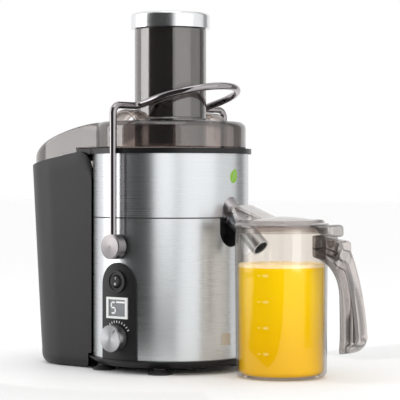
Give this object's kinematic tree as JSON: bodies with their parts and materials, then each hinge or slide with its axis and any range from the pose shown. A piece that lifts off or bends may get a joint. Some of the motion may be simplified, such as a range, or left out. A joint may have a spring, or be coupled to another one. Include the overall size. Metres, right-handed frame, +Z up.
{
  "type": "centrifugal juicer",
  "caption": "Countertop centrifugal juicer: round motor base, filter bowl, clear lid with feed chute and pusher, wire locking arm, pulp bin, spout and juice jug with handle.",
  "frame": {"origin": "middle of the footprint of the whole set, with bin and jug in place, on the surface it stands on", "axes": "+X from the housing to the spout and jug, -X to the pulp bin, -Y to the controls, +Z up along the motor shaft"},
  "size_m": [0.4622, 0.2082, 0.408],
  "materials": {
    "steel_skin": "horizontal brushed, satin",
    "dark_plastic": "satin moulded",
    "bin_plastic": "satin moulded",
    "black_plastic": "satin moulded",
    "inner_plastic": "plain moulded",
    "black_rubber": "matt",
    "smoked_lid": "clear smoked, polished",
    "smoked_pusher": "dark smoked, polished",
    "clear_jug": "clear smoked, polished",
    "smoked_handle": "clear smoked, polished",
    "chrome_rod": "polished",
    "cap_metal": "brushed",
    "dial_metal": "spun face",
    "spout_grey": "metallised, satin",
    "plain_steel": "plain",
    "mesh_steel": "perforated",
    "laminated_iron": "stacked sheet",
    "copper": "enamelled",
    "brass": "plain",
    "carbon": "matt",
    "cast_alloy": "as cast",
    "board_green": "lacquered",
    "white_plastic": "satin",
    "display_glass": "clear over grey",
    "badge_white": "satin",
    "switch_blue": "plain"
  },
  "bodies": {
    "base": {"base_pan": "dark_plastic", "suction_feet": "black_rubber", "base_screws": "plain_steel", "lower_housing": "steel_skin", "motor_chassis": "inner_plastic", "seam_gasket": "black_rubber", "panel_gasket": "black_rubber", "control_panel": "dark_plastic", "switch_bezel": "black_plastic", "power_switch": "inner_plastic", "display_frame": "white_plastic", "display_screen": "display_glass", "control_board": "board_green", "dial_encoder": "plain_steel", "lower_bracket": "cast_alloy", "upper_bracket": "cast_alloy", "bracket_bolts": "plain_steel", "motor_mounts": "black_rubber", "stator": "laminated_iron", "field_coils": "copper", "brush_holders": "brass", "carbon_brushes": "carbon", "lower_bearing": "plain_steel", "upper_bearing": "plain_steel", "shaft_seal": "black_rubber", "filter_bowl": "black_plastic", "bowl_skin": "steel_skin", "spout_collar": "cap_metal", "spout": "spout_grey", "lid_seal": "black_rubber", "lid": "smoked_lid", "pivot_pins": "plain_steel", "pivot_washers": "black_plastic", "safety_switch": "switch_blue", "cord_gland": "black_rubber", "badge_plate": "badge_white"},
    "rotor": {"motor_shaft": "plain_steel", "cooling_fan": "inner_plastic", "armature": "laminated_iron", "commutator": "copper", "drive_coupling": "inner_plastic", "filter_basket": "mesh_steel", "grating_disc": "mesh_steel"},
    "arm": {"locking_arm": "chrome_rod", "pivot_caps": "cap_metal"},
    "pusher_unit": {"pusher": "smoked_pusher", "pusher_cap": "cap_metal"},
    "power_rocker": {"power_button": "dark_plastic"},
    "dial": {"speed_dial": "dial_metal", "dial_cap": "dial_metal", "dial_shaft": "plain_steel"},
    "bin": {"pulp_bin": "bin_plastic"},
    "jug_unit": {"jug": "clear_jug", "jug_handle": "smoked_handle"},
    "jug_cover": {"jug_lid": "smoked_handle"}
  },
  "joints": [
    {"name": "basket_spin", "type": "hinge", "parent": "base", "child": "rotor", "pos_m": [-0.0365, 0, 0.2], "axis": [0, 0, 1], "continuous": true},
    {"name": "arm_swing", "type": "hinge", "parent": "base", "child": "arm", "pos_m": [-0.0365, 0, 0.142], "axis": [0, 1, 0], "range_deg": [0, 50]},
    {"name": "pusher_lift", "type": "slide", "parent": "base", "child": "pusher_unit", "axis": [0, 0, 1], "range_m": [0, 0.14]},
    {"name": "power_rock", "type": "hinge", "parent": "base", "child": "power_rocker", "pos_m": [-0.0365, -0.0904, 0.103], "axis": [1, 0, 0], "range_deg": [0, 12]},
    {"name": "dial_turn", "type": "hinge", "parent": "base", "child": "dial", "pos_m": [-0.0365, -0.095, 0.04], "axis": [0, 1, 0], "range_deg": [-120, 120]},
    {"name": "bin_slide", "type": "slide", "parent": "base", "child": "bin", "axis": [-1, 0, 0], "range_m": [0, 0.14]},
    {"name": "jug_slide", "type": "slide", "parent": "base", "child": "jug_unit", "axis": [1, 0, 0], "range_m": [0, 0.15]},
    {"name": "jug_lid_lift", "type": "slide", "parent": "jug_unit", "child": "jug_cover", "axis": [0, 0, 1], "range_m": [0, 0.05]}
  ]
}
